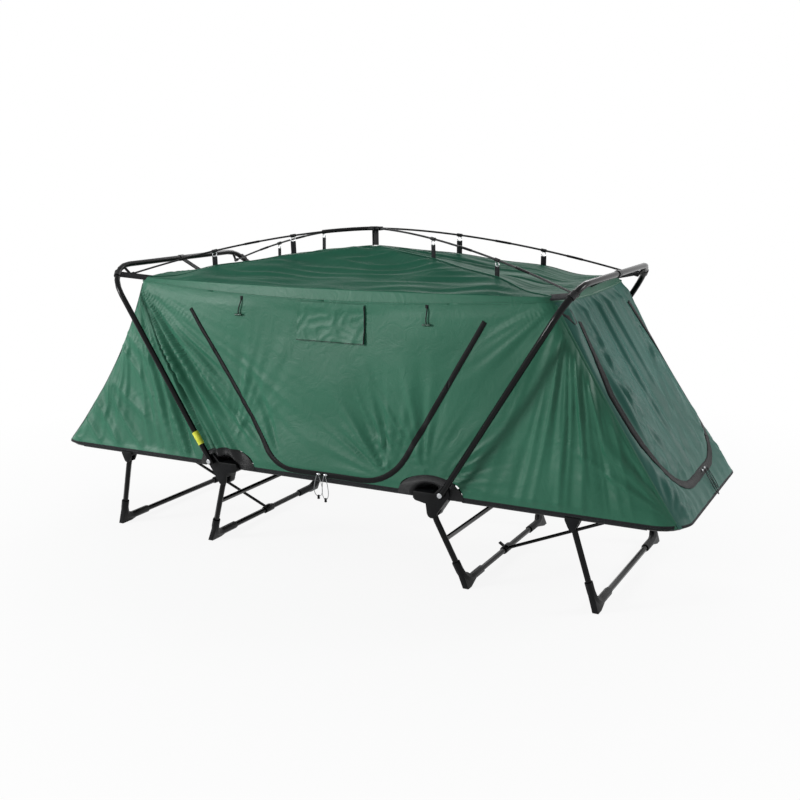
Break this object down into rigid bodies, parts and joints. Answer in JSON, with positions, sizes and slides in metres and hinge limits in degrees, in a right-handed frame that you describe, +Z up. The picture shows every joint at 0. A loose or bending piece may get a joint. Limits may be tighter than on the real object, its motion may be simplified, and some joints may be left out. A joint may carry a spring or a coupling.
{
  "type": "tent cot",
  "caption": "Folding camp bed with a low tent on top: slung deck on hinged tube legs, tilted hoops and crossed ridge poles that hold a roof, walls and zipped doors.",
  "frame": {"origin": "centre of the footprint, on the ground under the middle of the deck", "axes": "+X along the bed towards the foot end with the second door, +Y across it away from the side door, +Z up"},
  "size_m": [2.3062, 0.8102, 1.0765],
  "materials": {
    "black_tube": "gloss black powder coat on steel tube",
    "black_plastic": "satin moulded nylon",
    "pin_steel": "bright zinc",
    "pole": "smooth glass-fibre rod",
    "sling_cloth": "heavy black woven nylon",
    "canopy_green": "coated nylon with a soft sheen",
    "canopy_grey_green": "coated nylon, paler inner face of the panel",
    "webbing": "ribbed black webbing"
  },
  "bodies": {
    "centre": {"centre_rail_near": "black_tube", "centre_rail_far": "black_tube", "sling_centre": "sling_cloth", "near_wall": "canopy_green", "far_wall": "canopy_green", "roof": "canopy_green", "ridge_hub": "black_plastic", "hinge_block_head_near": "black_plastic", "hinge_pin_head_near": "pin_steel", "ridge_pole_head_near": "pole", "ridge_tape_head_near": "webbing", "hinge_block_head_far": "black_plastic", "hinge_pin_head_far": "pin_steel", "ridge_pole_head_far": "pole", "ridge_tape_head_far": "webbing", "hinge_block_foot_near": "black_plastic", "hinge_pin_foot_near": "pin_steel", "ridge_pole_foot_near": "pole", "ridge_tape_foot_near": "webbing", "hinge_block_foot_far": "black_plastic", "hinge_pin_foot_far": "pin_steel", "ridge_pole_foot_far": "pole", "ridge_tape_foot_far": "webbing"},
    "head_section": {"head_frame": "black_tube", "sling_head": "sling_cloth", "leg_bracket_head_near": "black_plastic", "leg_bracket_head_far": "black_plastic", "head_wall": "canopy_green"},
    "head_hoop": {"hoop_head": "black_tube", "tie_head_near": "webbing", "tie_head_far": "webbing", "tie_head_middle": "webbing"},
    "head_outer_leg": {"leg_head_outer": "black_tube", "foot_cap_head_outer_near": "black_plastic", "foot_cap_head_outer_far": "black_plastic"},
    "head_inner_leg": {"leg_head_inner": "black_tube", "foot_cap_head_inner_near": "black_plastic", "foot_cap_head_inner_far": "black_plastic", "stay_clip_head": "black_plastic"},
    "head_stay": {"stay_head": "black_tube"},
    "foot_section": {"foot_frame": "black_tube", "sling_foot": "sling_cloth", "leg_bracket_foot_near": "black_plastic", "leg_bracket_foot_far": "black_plastic", "foot_wall": "canopy_grey_green"},
    "foot_hoop": {"hoop_foot": "black_tube", "tie_foot_near": "webbing", "tie_foot_far": "webbing", "tie_foot_middle": "webbing"},
    "foot_outer_leg": {"leg_foot_outer": "black_tube", "foot_cap_foot_outer_near": "black_plastic", "foot_cap_foot_outer_far": "black_plastic"},
    "foot_inner_leg": {"leg_foot_inner": "black_tube", "foot_cap_foot_inner_near": "black_plastic", "foot_cap_foot_inner_far": "black_plastic", "stay_clip_foot": "black_plastic"},
    "foot_stay": {"stay_foot": "black_tube"},
    "near_door": {"near_door": "canopy_green", "window_flap": "canopy_green"},
    "foot_door": {"foot_door": "canopy_grey_green"}
  },
  "joints": [
    {"name": "head_fold", "type": "hinge", "parent": "centre", "child": "head_section", "pos_m": [-0.432, 0, 0.3085], "axis": [0, 1, 0], "range_deg": [0, 180], "deforming": ["head_wall", "ridge_pole_head_near", "ridge_pole_head_far", "ridge_tape_head_near", "ridge_tape_head_far", "tie_head_near", "tie_head_far", "tie_head_middle", "near_wall", "far_wall", "roof", "near_door", "window_flap", "ridge_hub"]},
    {"name": "head_hoop_tilt", "type": "hinge", "parent": "head_section", "child": "head_hoop", "pos_m": [-0.432, 0, 0.3085], "axis": [0, 1, 0], "range_deg": [-60, 0]},
    {"name": "head_outer_leg_fold", "type": "hinge", "parent": "head_section", "child": "head_outer_leg", "pos_m": [-0.832, 0, 0.26], "axis": [0, -1, 0], "range_deg": [0, 105]},
    {"name": "head_stay_swing", "type": "hinge", "parent": "head_section", "child": "head_stay", "pos_m": [-1.132, 0, 0.2905], "axis": [0, -1, 0], "range_deg": [0, 22.85]},
    {"name": "head_inner_leg_fold", "type": "hinge", "parent": "centre", "child": "head_inner_leg", "pos_m": [-0.395, 0, 0.242], "axis": [0, -1, 0], "range_deg": [0, 111]},
    {"name": "foot_fold", "type": "hinge", "parent": "centre", "child": "foot_section", "pos_m": [0.432, 0, 0.3085], "axis": [0, -1, 0], "range_deg": [0, 165], "deforming": ["foot_wall", "ridge_pole_foot_near", "ridge_pole_foot_far", "ridge_tape_foot_near", "ridge_tape_foot_far", "tie_foot_near", "tie_foot_far", "tie_foot_middle", "foot_door"]},
    {"name": "foot_hoop_tilt", "type": "hinge", "parent": "foot_section", "child": "foot_hoop", "pos_m": [0.432, 0, 0.3085], "axis": [0, -1, 0], "range_deg": [-63, 0]},
    {"name": "foot_outer_leg_fold", "type": "hinge", "parent": "foot_section", "child": "foot_outer_leg", "pos_m": [0.832, 0, 0.26], "axis": [0, 1, 0], "range_deg": [0, 105]},
    {"name": "foot_stay_swing", "type": "hinge", "parent": "foot_section", "child": "foot_stay", "pos_m": [1.132, 0, 0.2905], "axis": [0, 1, 0], "range_deg": [0, 22.85]},
    {"name": "foot_inner_leg_fold", "type": "hinge", "parent": "centre", "child": "foot_inner_leg", "pos_m": [0.395, 0, 0.242], "axis": [0, 1, 0], "range_deg": [0, 111]},
    {"name": "near_door_swing", "type": "hinge", "parent": "centre", "child": "near_door", "pos_m": [0, -0.331, 0.863], "axis": [-1, 0, 0], "range_deg": [0, 110]},
    {"name": "foot_door_swing", "type": "hinge", "parent": "foot_section", "child": "foot_door", "pos_m": [0.765, 0, 0.885], "axis": [0, -1, 0], "range_deg": [0, 80]}
  ],
  "couplings": [
    {"joint": "head_hoop_tilt", "follows": "head_fold", "ratio": -0.33},
    {"joint": "foot_hoop_tilt", "follows": "foot_fold", "ratio": -0.38},
    {"joint": "head_stay_swing", "follows": "head_outer_leg_fold", "ratio": 0.2172},
    {"joint": "foot_stay_swing", "follows": "foot_outer_leg_fold", "ratio": 0.2172}
  ]
}
